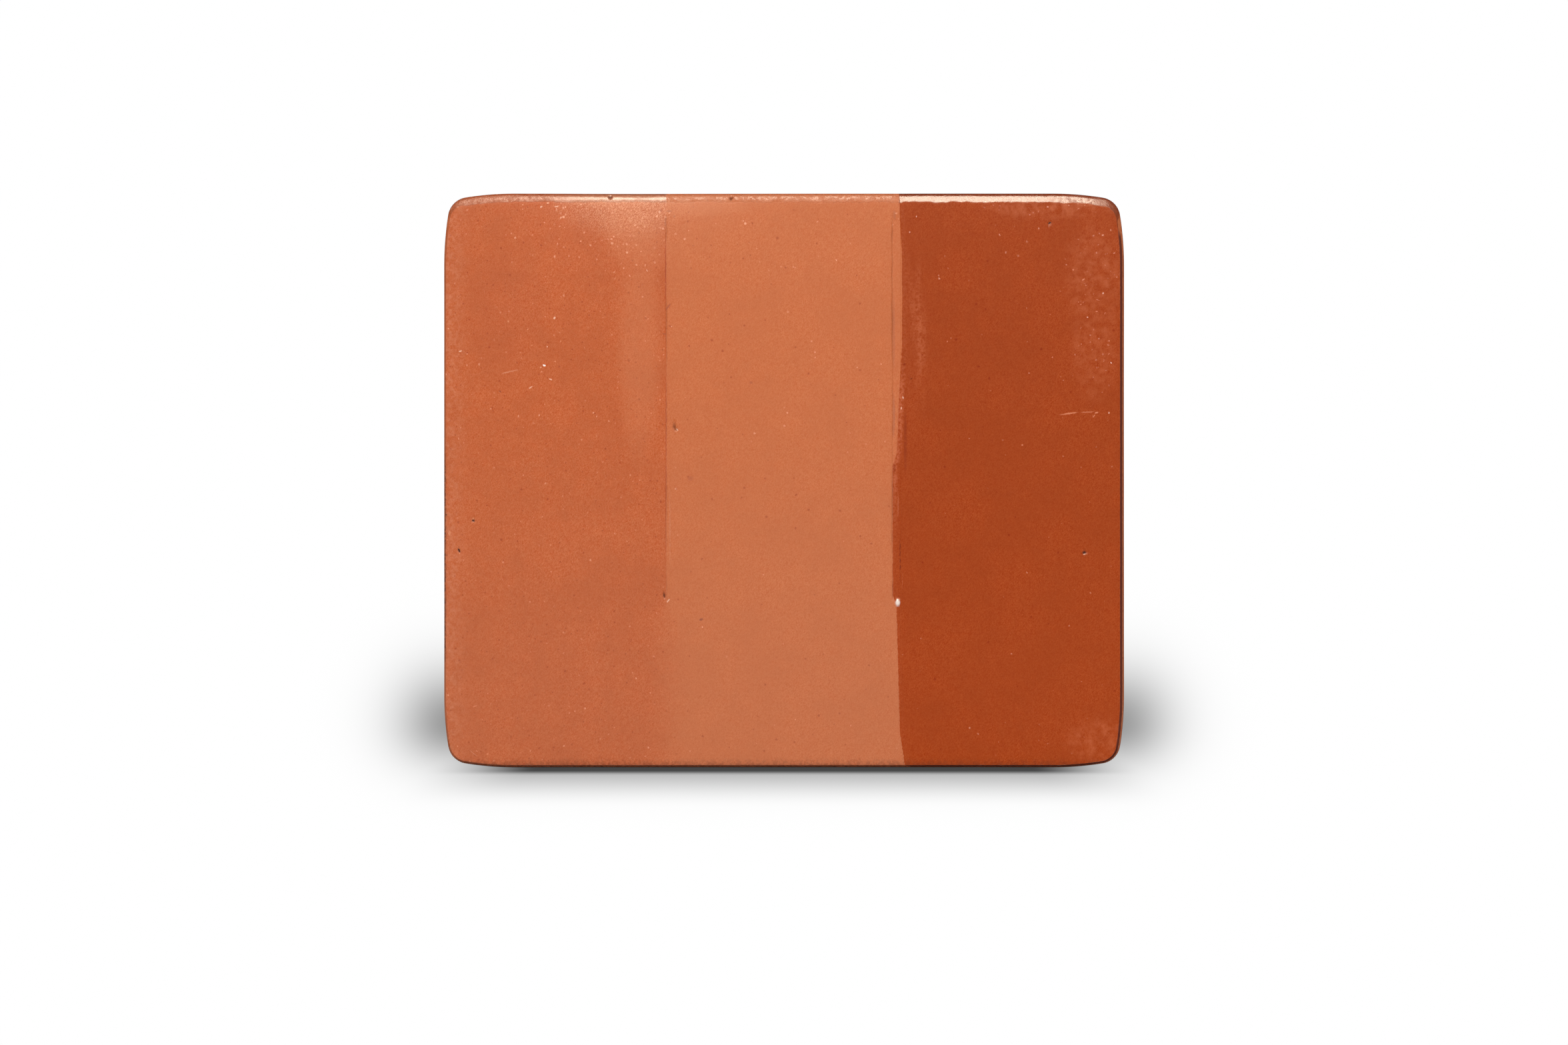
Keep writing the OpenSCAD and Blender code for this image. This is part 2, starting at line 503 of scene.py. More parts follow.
def block_surface(shape):
    """Vertices in mm, quads, triangles and named shares of the whole closed block.

    A fine grid for the face, rings round its edge and down the sides, a stitched band to a coarser
    loop, and rings and a grid for the back. The grids are the full rectangle drawn into the
    rounded outline. Slow waves then sink every point along its outward direction, the face's
    relief moves it back, and each hole sinks it along its own axis.
    """
    holes_x = [across(pixel[0]) for pixel, *rest in HOLES]
    holes_z = [above(pixel[1]) for pixel, *rest in HOLES]
    columns = spaced(-WIDTH / 2, WIDTH / 2, shape.face_columns,
                     holes_x + [NARROW_LINE, NARROW_LINE + 0.35, BROAD_LEFT, BROAD_RIGHT])
    rows = spaced(0, HEIGHT, shape.face_rows, holes_z + [LINE_TOP, LINE_FOOT, 0.4, HEIGHT - 0.8])
    back_columns = np.linspace(-WIDTH / 2, WIDTH / 2, BACK_COLUMNS + 1)
    back_rows = np.linspace(0, HEIGHT, BACK_ROWS + 1)

    front_x, front_z = (grid.ravel() for grid in np.meshgrid(columns, rows, indexing="ij"))
    back_x, back_z = (grid.ravel() for grid in np.meshgrid(back_columns, back_rows, indexing="ij"))
    front_rim = rim(shape.face_columns, shape.face_rows)
    back_rim = rim(BACK_COLUMNS, BACK_ROWS)

    arris_depth = shape.arris_depth / MM
    back_arris = shape.back_arris / MM
    face = ring(front_x, front_z, shape, -DEPTH / 2, *arrises(front_x, 1, shape))
    back = ring(back_x, back_z, shape, DEPTH / 2, *(back_arris,) * 3)

    # The grids' own rims are the first and the last ring, so these leave them out
    loop_turns, out, run = (values[1:] for values in front_profile(shape))
    rim_x, rim_z = front_x[front_rim], front_z[front_rim]
    loops = [ring(rim_x, rim_z, shape, -DEPTH / 2 + far * arris_depth,
                  *arrises(rim_x, 1 - near, shape)) for near, far in zip(out, run)]
    side_y = np.linspace(-DEPTH / 2 + arris_depth, DEPTH / 2 - 1.5, SIDE_RINGS + 1)[1:]
    loops += [loops[-1] * (1, 0, 1) + (0, y, 0) for y in side_y]
    loop_turns = [*loop_turns, *(pi / 2,) * SIDE_RINGS]
    back_turns = np.linspace(pi / 2, 0, BACK_RINGS + 1)[:-1]
    back_loops = [ring(back_x[back_rim], back_z[back_rim], shape,
                       DEPTH / 2 - (1 - cos(turn)) * back_arris,
                       *(back_arris * (1 - sin(turn)),) * 3) for turn in back_turns]
    places = np.concatenate([face, *loops, *back_loops, back])
    normals = np.concatenate([
        np.tile([0.0, -1, 0], (len(face), 1)), *outward(loops, loop_turns, -1),
        *outward(back_loops, back_turns, 1), np.tile([0.0, 1, 0], (len(back), 1))])

    count = len(front_rim)
    starts = len(face) + count * np.arange(len(loops) + 1)
    chain = [front_rim] + [np.arange(count) + start for start in starts[:-1]]
    back_count = len(back_rim)
    back_starts = starts[-1] + back_count * np.arange(len(back_loops) + 1)
    back_chain = [np.arange(back_count) + start for start in back_starts[:-1]]
    back_chain.append(back_rim + back_starts[-1])
    quads = [grid_faces(shape.face_columns, shape.face_rows)]
    quads += [band_faces(a, b) for a, b in zip(chain, chain[1:])]
    quads += [band_faces(a, b) for a, b in zip(back_chain, back_chain[1:])]
    quads.append(grid_faces(BACK_COLUMNS, BACK_ROWS)[:, ::-1] + back_starts[-1])
    front_round = round_turn(rim_x, rim_z)
    back_round = round_turn(back_x[back_rim], back_z[back_rim])
    triangles = stitch_faces(chain[-1], back_chain[0], front_round, back_round)

    x, y, z = places.T
    places = worn(places, normals, shape)
    at_front = 1 - smooth(-DEPTH / 2 + 1.2, -DEPTH / 2 + 8, y)
    sink, hollow = face_sink(x, z, shape)
    places[:, 1] += sink * at_front
    hollow = hollow * (y < -DEPTH / 2 + 0.5)
    for pixel, half_length, half_width, depth, turn in HOLES:
        share = hole_share(places, pixel, half_length, half_width, turn)
        inward = np.array([0, 1, -1.0 if above(pixel[1]) > HEIGHT - 1.2 else 0])
        places += np.outer(share * depth, inward / np.linalg.norm(inward))
        hollow = np.maximum(hollow, share)
    pixel, half_length, half_width, height, turn = BEAD
    bead = hole_share(places, pixel, half_length, half_width, turn)
    places[:, 1] -= height * bead
    arris = smooth(0.01, 0.10, 1 - np.abs(normals[:, 1])) * (y < -DEPTH / 2 + 1.3)
    shares = {"hollow": hollow, "coat_edge": x - coat_edge(z), "bead": bead, "arris": arris,
              "behind": y + DEPTH / 2}
    return places, np.concatenate(quads), triangles, shares


class Wiring:
    """Adds shader nodes to a tree and joins them. Inputs take either a value or a socket."""

    def __init__(self, tree):
        self.tree = tree

    def node(self, kind, settings=None, **inputs):
        """A new node, with its inputs by name, underscores standing for blanks."""
        node = self.tree.nodes.new(kind)
        for name, value in (settings or {}).items():
            setattr(node, name, value)
        for name, value in inputs.items():
            self.feed(node.inputs[name.replace("_", " ")], value)
        return node

    def feed(self, socket, value):
        """Joins a socket to another one, or gives it a value."""
        if isinstance(value, bpy.types.NodeSocket):
            self.tree.links.new(value, socket)
        elif hasattr(value, "__len__") and len(value) == 3 and socket.type == "RGBA":
            socket.default_value = (*value, 1)
        else:
            socket.default_value = value

    def math(self, operation, *values, clamp=False):
        """A number worked out from others."""
        node = self.node("ShaderNodeMath", {"operation": operation, "use_clamp": clamp})
        for socket, value in zip(node.inputs, values):
            self.feed(socket, value)
        return node.outputs[0]

    def times(self, *values):
        """The product of some numbers."""
        product = values[0]
        for value in values[1:]:
            product = self.math("MULTIPLY", product, value)
        return product

    def rest(self, share):
        """What a share leaves of 1."""
        return self.math("SUBTRACT", 1.0, share)

    def vector(self, operation, *values):
        """A vector worked out from others."""
        node = self.node("ShaderNodeVectorMath", {"operation": operation})
        for socket, value in zip(node.inputs, values):
            self.feed(socket, value)
        return node.outputs["Value" if operation == "DOT_PRODUCT" else "Vector"]

    def scale(self, vector, factor):
        """A vector or colour times a number."""
        settings = {"operation": "SCALE"}
        return self.node("ShaderNodeVectorMath", settings, Vector=vector, Scale=factor).outputs[0]

    def rise(self, value, low, high, start=0.0, end=1.0):
        """Goes smoothly from start to end as the value goes from low to high."""
        node = self.node("ShaderNodeMapRange", {"interpolation_type": "SMOOTHSTEP"}, Value=value,
                         From_Min=low, From_Max=high, To_Min=start, To_Max=end)
        return node.outputs["Result"]

    def fall(self, value, low, high, start=1.0):
        """Goes smoothly from start to 0 as the value goes from low to high."""
        return self.rise(value, low, high, start, 0.0)

    def mix(self, share, first, second, blend="MIX"):
        """A colour between two."""
        node = self.node("ShaderNodeMix", {"data_type": "RGBA", "blend_type": blend})
        self.feed(node.inputs[0], share)
        self.feed(node.inputs[6], first)
        self.feed(node.inputs[7], second)
        return node.outputs[2]

    def noise(self, place, size, detail=2.0, roughness=0.5):
        """Noise from 0 to 1 whose lumps are about as large as the size."""
        node = self.node("ShaderNodeTexNoise", None, Vector=place, Detail=detail,
                         Roughness=roughness)
        self.feed(node.inputs["Scale"], self.math("DIVIDE", 1.0, size))
        return node.outputs["Fac"]

    def group(self, group, **inputs):
        """A node group placed in the tree, with its inputs by name."""
        return self.node("ShaderNodeGroup", {"node_tree": group}, **inputs).outputs

    def arrange(self):
        """Sets the nodes out in columns, by how many joins lie between each and the last one."""
        level = {node: 0 for node in self.tree.nodes}
        for _ in range(len(level)):
            moved = [link for link in self.tree.links
                     if level[link.from_node] <= level[link.to_node]]
            for link in moved:
                level[link.from_node] = level[link.to_node] + 1
            if not moved:
                break
        used = {}
        for node, column in level.items():
            used[column] = used.get(column, 0) + 1
            node.location = (-220 * column, -190 * used[column])


def shader_group(name, inputs, outputs):
    """An empty shader node group: its wiring, the sockets that come in and the ones to feed."""
    tree = bpy.data.node_groups.new(name, "ShaderNodeTree")
    for label, kind, default in inputs:
        socket = tree.interface.new_socket(name=label, in_out="INPUT", socket_type=kind)
        if default is not None:
            socket.default_value = default
    for label, kind in outputs:
        tree.interface.new_socket(name=label, in_out="OUTPUT", socket_type=kind)
    wiring = Wiring(tree)
    return wiring, wiring.node("NodeGroupInput").outputs, wiring.node("NodeGroupOutput").inputs


VECTOR = "NodeSocketVector"
NUMBER = "NodeSocketFloat"
COLOUR = "NodeSocketColor"

# Tints that multiply the clay's colour, the colours of what lies on the clay and its coats, and
# the colours of painted light, shade and highlights
DARK_SPECK_TINT = (0.66, 0.34, 0.16)
PALE_GRAIN = (0.80, 0.68, 0.37)
SEALED_GRAIN = (0.94, 0.37, 0.13)
# Pale specks, which in the sparkle patch are painted glints
LIGHT_SPECK = painted(240, 168, 132)
HAZE = painted(202, 104, 60)
SCUFFS = painted(200, 104, 66)
# Painted highlight: the glints in the satin panel
GLINT = painted(246, 178, 138)
DUST = painted(216, 140, 104)
# Painted light that makes the clay paler towards the bottom
FOOT_LIGHT = painted(197, 160, 136)
SEALED_FOOT_LIGHT = painted(216, 89, 32)
# Painted shade on the rounded top edge
SHADED = painted(96, 44, 20)
COAT_END = painted(84, 14, 4)
# Dark nicks, and grime with painted shade
DIRT_AND_SHADE = painted(96, 44, 28)
# Painted shade along the bottom
FOOT_SHADE = painted(112, 58, 40)
# Grime and painted shade in the hollows
HOLLOW_DIRT_AND_SHADE = painted(70, 26, 16)
# Painted highlight on the bead
BEAD_HIGHLIGHT = painted(250, 232, 220)
PORES = painted(128, 62, 40)
SCUM = painted(224, 150, 112)


def mottle_group():
    """Soft clouds: layered noise between two levels, which can be stretched upright."""
    wiring, given, result = shader_group(
        "Mottle",
        [("Place", VECTOR, None), ("Size", NUMBER, 5.0), ("Stretch", NUMBER, 1.0),
         ("Low", NUMBER, 0.4), ("High", NUMBER, 0.6)],
        [("Share", NUMBER)])
    upright = wiring.node("ShaderNodeCombineXYZ", None, X=1.0, Y=1.0,
                          Z=wiring.math("DIVIDE", 1.0, given["Stretch"]))
    place = wiring.vector("MULTIPLY", given["Place"], upright.outputs[0])
    clouds = wiring.noise(place, given["Size"], 4.0, 0.55)
    wiring.feed(result["Share"], wiring.rise(clouds, given["Low"], given["High"]))
    wiring.arrange()
    return wiring.tree


def specks_group():
    """Scattered specks: one at the heart of some of the cells of a Voronoi pattern."""
    wiring, given, result = shader_group(
        "Specks",
        [("Place", VECTOR, None), ("Spacing", NUMBER, 2.0), ("Size", NUMBER, 0.2),
         ("Share Shown", NUMBER, 0.5), ("Shift", NUMBER, 0.0)],
        [("Share", NUMBER)])
    place = wiring.vector("ADD", given["Place"], given["Shift"])
    cells = wiring.node("ShaderNodeTexVoronoi", {"feature": "F1"}, Vector=place, Randomness=1.0)
    wiring.feed(cells.inputs["Scale"], wiring.math("DIVIDE", 1.0, given["Spacing"]))
    chance = wiring.node("ShaderNodeSeparateColor", None, Color=cells.outputs["Color"]).outputs
    away = wiring.times(cells.outputs["Distance"], given["Spacing"])
    radius = wiring.times(given["Size"], wiring.math("MULTIPLY_ADD", chance[0], 0.35, 0.15))
    inside = wiring.fall(wiring.math("DIVIDE", away, radius), 0.5, 1.2)
    shown = wiring.math("LESS_THAN", chance[1], given["Share Shown"])
    wiring.feed(result["Share"], wiring.times(inside, shown))
    wiring.arrange()
    return wiring.tree


def clay_group(mottle, specks):
    """Fired clay: a colour that clouds shift lighter and darker, with fine grain and specks."""
    wiring, given, result = shader_group(
        "Fired Clay",
        [("Place", VECTOR, None), ("Ragged Place", VECTOR, None), ("Colour", COLOUR, None),
         ("Clouds", NUMBER, 0.1), ("Grain", NUMBER, 0.1), ("Grain Colour", COLOUR, None),
         ("Dark Specks", NUMBER, 0.3), ("Light Specks", NUMBER, 0.1)],
        [("Colour", COLOUR), ("Grain", NUMBER)])
    clouds = wiring.group(mottle, Place=given["Place"], Size=6.0, Low=0.3, High=0.7)["Share"]
    patches = wiring.noise(given["Place"], 1.3, 2.0, 0.7)
    shift = wiring.times(wiring.math("SUBTRACT", clouds, 0.5), given["Clouds"])
    patches = wiring.times(wiring.math("SUBTRACT", patches, 0.5), 1.8)
    shift = wiring.math("MULTIPLY_ADD", patches, given["Clouds"], shift)
    colour = wiring.scale(given["Colour"], wiring.math("ADD", 1.0, shift))
    slanted = wiring.node("ShaderNodeMapping", {"vector_type": "TEXTURE"}, Vector=given["Place"],
                          Rotation=(0, radians(-50), 0), Scale=(1.4, 1, 1)).outputs[0]
    grain = wiring.noise(slanted, 0.16, 1.0, 0.7)
    sand = wiring.node("ShaderNodeTexVoronoi", {"feature": "F1"}, Vector=slanted, Scale=11.0,
                       Randomness=1.0)
    sand = wiring.node("ShaderNodeSeparateColor", None, Color=sand.outputs["Color"]).outputs[0]
    level = wiring.math("MULTIPLY_ADD", grain, 0.6, wiring.times(sand, 0.4))
    level = wiring.times(wiring.math("SUBTRACT", level, 0.5), given["Grain"],
                         wiring.math("MULTIPLY_ADD", clouds, 0.6, 0.7))
    colour = wiring.vector("ADD", colour, wiring.scale(given["Grain Colour"], level))
    shown = wiring.times(given["Light Specks"], clouds)
    small, large, light = (
        wiring.group(specks, Place=given["Ragged Place"], Spacing=spacing, Size=size, Shift=shift,
                     Share_Shown=share)["Share"]
        for spacing, size, shift, share in (
            (0.80, 0.28, 0.0, given["Dark Specks"]), (1.40, 0.38, 3.7, given["Dark Specks"]),
            (0.40, 0.42, 9.1, shown)))
    dark = wiring.times(wiring.math("MAXIMUM", small, large), 0.65)
    dark_colour = wiring.mix(1.0, given["Colour"], DARK_SPECK_TINT, "MULTIPLY")
    colour = wiring.mix(dark, colour, dark_colour)
    light = wiring.times(light, wiring.rise(patches, -0.25, 0.25, 0.20, 0.85))
    wiring.feed(result["Colour"], wiring.mix(light, colour, LIGHT_SPECK))
    wiring.feed(result["Grain"], grain)
    wiring.arrange()
    return wiring.tree


def new_material(name):
    """An empty node material and its output's surface socket."""
    material = bpy.data.materials.new(name)
    material.use_nodes = True
    nodes = material.node_tree.nodes
    nodes.clear()
    return material, nodes.new("ShaderNodeOutputMaterial").inputs["Surface"]


# Marks on the surface, by their colour in display values: the pixel, half length and half
# width in mm, the turn in degrees from the level, softness and strength. Most are stains,
# flecks and scuffs, and some colours paint shade or highlights, as noted at them
MARKS = {
    (176, 84, 48): (
        ((760, 470), 10.0, 14.0, 0, 1.0, 0.20), ((1036, 718), 0.70, 0.55, 0, 0.9, 0.50),
        ((1127, 575), 0.36, 0.30, 0, 0.8, 0.75), ((725, 509), 0.26, 0.20, 40, 0.9, 0.70),
        ((739, 510), 0.24, 0.24, 0, 1.0, 0.50), ((846, 494), 0.16, 0.14, 0, 0.7, 0.80),
        ((1003, 461), 0.66, 0.17, 52, 0.6, 1.00), ((997, 502), 0.34, 0.13, -8, 0.6, 1.00),
        ((1040, 370), 0.24, 0.16, -20, 0.9, 0.70), ((1040, 312), 0.14, 0.16, 0, 0.9, 0.70)),
    # Painted shade at the top ends of the score lines and along the broad line's left wall
    (160, 88, 64): (
        ((1004, 318), 0.70, 0.26, 10, 1.0, 0.50), ((1012, 326), 0.16, 0.36, 0, 1.0, 0.40),
        ((998.5, 334), 0.24, 1.30, 0, 1.0, 0.40), ((1341, 324), 0.36, 1.10, 0, 1.0, 0.40),
        ((1340.5, 500), 0.26, 9.00, 0, 1.0, 0.30), ((1340.5, 625), 0.28, 5.00, 0, 1.0, 0.45)),
    # The four large soft ones are painted sheen below the top edge, and the small ones are pale
    # flecks
    (224, 146, 102): (
        ((930, 300), 12.0, 2.2, 0, 1.0, 0.34), ((950, 340), 7.0, 12.0, 20, 1.0, 0.22),
        ((960, 520), 5.0, 26.0, 0, 1.0, 0.18), ((1010, 310), 18.0, 2.6, 0, 1.0, 0.16),
        ((676, 800), 0.42, 0.26, 80, 0.6, 0.60), ((812, 552), 0.22, 0.14, 30, 0.7, 0.90),
        ((834, 543), 0.13, 0.11, 0, 0.6, 0.90), ((711.5, 777.6), 0.20, 0.20, 0, 0.8, 0.70),
        ((793, 495), 0.22, 0.16, 50, 0.9, 0.80), ((764, 483), 0.18, 0.16, 30, 0.8, 0.80),
        ((799, 519), 0.26, 0.10, 10, 0.8, 0.80), ((842, 513), 0.14, 0.20, 0, 0.9, 0.70)),
    # Dark spots, of which the one at (752, 588) is painted shade in a small pit
    (140, 62, 40): (
        ((1052, 929), 0.40, 0.22, 20, 0.7, 0.80), ((752, 588), 0.24, 0.12, -40, 0.6, 0.80)),
    # Pale flecks, with painted highlights on the chip's rim at (1016, 645) and on the narrow line's
    # foot at (1003, 901)
    (245, 190, 160): (
        ((1016, 645), 0.26, 0.14, 140, 0.6, 0.85), ((1003, 901), 0.34, 0.14, 50, 0.6, 0.80),
        ((833, 478), 0.26, 0.17, 60, 0.5, 0.90), ((692, 528), 0.30, 0.14, 20, 0.6, 0.85),
        ((836, 311), 0.42, 0.14, 10, 0.6, 0.80), ((813, 312), 0.20, 0.16, 0, 0.6, 0.70),
        ((797, 582), 0.38, 0.12, 38, 0.7, 0.80), ((827, 570), 0.24, 0.11, -20, 0.6, 0.80),
        ((822, 521), 0.12, 0.10, 0, 0.6, 0.90), ((1364, 350), 0.16, 0.14, 0, 0.7, 0.80),
        ((1374, 326), 0.10, 0.17, 0, 0.7, 0.70), ((1629.5, 477), 0.15, 0.13, 0, 0.7, 0.90),
        ((971, 407), 0.26, 0.10, -50, 0.8, 0.60), ((1008, 491), 0.12, 0.14, 0, 0.8, 0.60),
        ((990, 319), 0.20, 0.16, 0, 0.9, 0.60), ((1665, 545), 0.20, 0.11, -50, 0.7, 0.80),
        ((1653, 441), 0.13, 0.15, 20, 0.7, 0.80), ((1661.5, 620), 0.14, 0.17, 0, 0.7, 0.80),
        ((1354, 597), 0.14, 0.26, 20, 0.8, 0.70), ((1351.6, 613), 0.14, 0.22, 0, 0.7, 0.80)),
    (255, 240, 230): (((818, 549), 0.24, 0.13, 0, 0.4, 1.00),),
    (226, 138, 98): (
        ((1532, 668), 0.18, 0.14, 0, 0.7, 0.85), ((1420, 513), 0.12, 0.12, 0, 0.7, 0.70),
        ((1602, 621), 1.75, 0.16, 7, 0.8, 0.85), ((1630, 618.6), 1.30, 0.14, 3, 0.8, 0.60),
        ((1643, 620), 0.36, 0.16, 20, 0.7, 0.90), ((1639.5, 625), 0.34, 0.10, 55, 0.7, 0.80),
        ((1608, 406), 0.17, 0.18, 0, 0.8, 0.80), ((1623.7, 421), 0.28, 0.12, 35, 0.7, 0.90),
        ((1627, 429), 0.12, 0.12, 0, 0.8, 0.80), ((1616, 454), 0.12, 0.11, 0, 0.8, 0.80),
        ((1619.6, 457.6), 0.14, 0.11, 0, 0.8, 0.80), ((1623.7, 454.5), 0.11, 0.11, 0, 0.8, 0.80),
        ((1626, 443), 0.11, 0.12, 0, 0.8, 0.70), ((1645, 451), 0.36, 0.08, -14, 0.7, 0.80),
        ((1643, 468), 0.28, 0.08, 0, 0.7, 0.80), ((1656, 471), 0.28, 0.12, 60, 0.9, 0.60),
        ((1662, 512.6), 0.15, 0.13, 0, 0.8, 0.70), ((1660, 518), 0.12, 0.10, -40, 0.8, 0.70),
        ((1661.4, 532), 0.16, 0.12, 30, 0.8, 0.80), ((1574, 473), 0.14, 0.10, 0, 0.8, 0.60),
        ((1577.5, 537), 0.13, 0.13, 0, 0.8, 0.60), ((714, 1059), 0.45, 0.14, 15, 0.8, 0.60),
        ((717, 1125.6), 0.20, 0.12, -30, 0.8, 0.70), ((733, 1130), 0.26, 0.20, 60, 0.8, 0.60),
        ((706, 1141), 0.22, 0.16, -40, 0.8, 0.70), ((742.5, 1140.6), 0.28, 0.14, 20, 0.8, 0.60)),
    # Painted shade inside the air holes and pits
    (50, 20, 12): (
        ((1366, 569), 0.28, 0.10, 22, 0.7, 0.60), ((1573, 336), 0.30, 0.13, 35, 0.5, 0.85),
        ((690.3, 826), 0.32, 0.14, -62, 0.4, 1.00), ((711.5, 781.6), 0.24, 0.13, -8, 0.5, 0.85),
        ((1625, 829), 0.24, 0.20, 0, 0.5, 0.80), ((670.6, 772.6), 0.17, 0.15, 0, 0.6, 0.85)),
}

# Scratches and thin lines, by their colour: the pixels where each starts and ends, half width in
# mm, strength. Some paint shade or highlights in the narrow score line, as noted at them
SCRATCHES = {
    # Pale scratches, of which the one from (1005, 700) down the narrow line's right side is a
    # painted highlight on its wall
    (214, 138, 102): (
        ((744, 564.5), (788, 552.5), 0.15, 0.75), ((1005, 700), (1006, 885), 0.14, 0.40),
        ((700, 1120), (721, 1137), 0.09, 0.70)),
    (204, 112, 74): (
        ((700, 560), (728, 566), 0.10, 0.50), ((1341.5, 714), (1341.5, 736), 0.09, 0.60),
        ((1346.5, 728), (1346.5, 788), 0.13, 0.60), ((1353, 850), (1353, 892), 0.08, 0.50)),
    (146, 54, 22): (
        ((1357.5, 590), (1357.5, 735), 0.40, 0.70), ((1341, 690), (1341, 716), 0.28, 0.60)),
    # Painted shade in the narrow score line
    (176, 72, 36): (
        ((998.6, 312), (999.2, 500), 0.10, 1.00), ((999.8, 440), (999.4, 920), 0.10, 0.90)),
    (116, 44, 24): (((1349.5, 780), (1349.5, 896), 0.11, 0.90),),
}

# Soft patches, given as marks: where the sealed coat is dull and where it is brushed, and where
# the satin panel gets painted sparkle and painted glints
DULL_PATCHES = (
    ((1640, 420), 6.5, 12.0, 0, 0.9, 0.80), ((1570, 312), 13.0, 2.6, 0, 0.9, 1.00),
    ((1645, 1110), 7.0, 5.0, 0, 0.9, 1.00), ((1640, 520), 5.0, 12.0, 0, 0.9, 0.70))
BRUSHED_PATCH = (((1374, 500), 2.6, 20.0, 0, 0.9, 0.52),)
SPARKLE_PATCH = (((950, 325), 13.0, 9.0, 0, 1.0, 0.50),)
GLOW_PATCH = (((945, 304), 17.0, 8.0, 0, 1.0, 0.50),)


def oval(wiring, place, middle, half_length, half_width, turn, softness, strength, others):
    """How strongly an oval mark or the other ones show, as the larger share of the two.

    An oval's share is its strength inside and 0 outside, with a soft border.
    """
    offset = wiring.vector("SUBTRACT", place, (middle[0], 0, middle[1]))
    along = wiring.vector("DOT_PRODUCT", offset,
                          (cos(turn) / half_length, 0, sin(turn) / half_length))
    aside = wiring.vector("DOT_PRODUCT", offset,
                          (-sin(turn) / half_width, 0, cos(turn) / half_width))
    square = wiring.math("MULTIPLY_ADD", along, along, wiring.times(aside, aside))
    share = wiring.fall(square, (1 - softness) ** 2, 1 - softness ** 2 / 2, strength)
    return wiring.math("MAXIMUM", share, others)


def mark_shares(wiring, place, marks):
    """The largest share that some marks have at a place."""
    share = 0.0
    for (column, row), half_length, half_width, turn, softness, strength in marks:
        share = oval(wiring, place, (across(column), above(row)), half_length, half_width,
                     radians(turn), softness, strength, share)
    return share


def scratch_shares(wiring, place, scratches):
    """The largest share that some scratches have at a place. They are long soft ovals."""
    share = 0.0
    for start, end, half_width, strength in scratches:
        middle = (across((start[0] + end[0]) / 2), above((start[1] + end[1]) / 2))
        run, rise = across(end[0]) - across(start[0]), above(end[1]) - above(start[1])
        share = oval(wiring, place, middle, np.hypot(run, rise) / 2, half_width,
                     atan2(rise, run), 0.9, strength, share)
    return share


